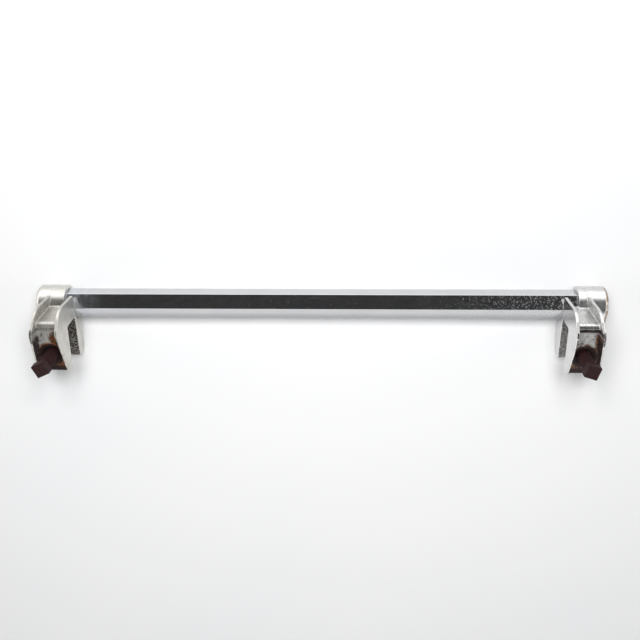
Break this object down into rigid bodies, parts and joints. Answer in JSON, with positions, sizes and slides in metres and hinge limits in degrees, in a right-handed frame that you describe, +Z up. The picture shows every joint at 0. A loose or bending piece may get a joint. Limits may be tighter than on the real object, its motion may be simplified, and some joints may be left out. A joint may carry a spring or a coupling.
{
  "type": "panic exit bar",
  "caption": "Hexagonal chromed push bar held between two forked lever arms, each with a square-head clamp screw.",
  "frame": {"origin": "on the table under the middle of the assembly's width and depth, as it lies on its back", "axes": "+X along the crossbar towards the right arm, +Y from the legs of the arms towards the crossbar, +Z up from the table"},
  "size_m": [0.5574, 0.0856, 0.0905],
  "materials": {
    "chromed_tube": "polished, lightly pitted",
    "plated_casting": "worn plate, satin on the faces and rough in the web",
    "rusted_steel": "dull dark rust",
    "plain_steel": "plain, oiled"
  },
  "bodies": {
    "bar_and_arms": {"crossbar": "chromed_tube", "arm_left": "plated_casting", "arm_right": "plated_casting", "spring_pin_left": "plain_steel", "spring_pin_right": "plain_steel", "end_plug_left": "plain_steel", "end_plug_right": "plain_steel"},
    "screw_left": {"set_screw_left": "rusted_steel"},
    "screw_right": {"set_screw_right": "rusted_steel"}
  },
  "joints": [
    {"name": "left_screw_travel", "type": "slide", "parent": "bar_and_arms", "child": "screw_left", "axis": [0, 0.3474, -0.9377], "range_m": [-0.004, 0.0195]},
    {"name": "right_screw_travel", "type": "slide", "parent": "bar_and_arms", "child": "screw_right", "axis": [0, 0.3474, -0.9377], "range_m": [-0.004, 0.0195]}
  ]
}
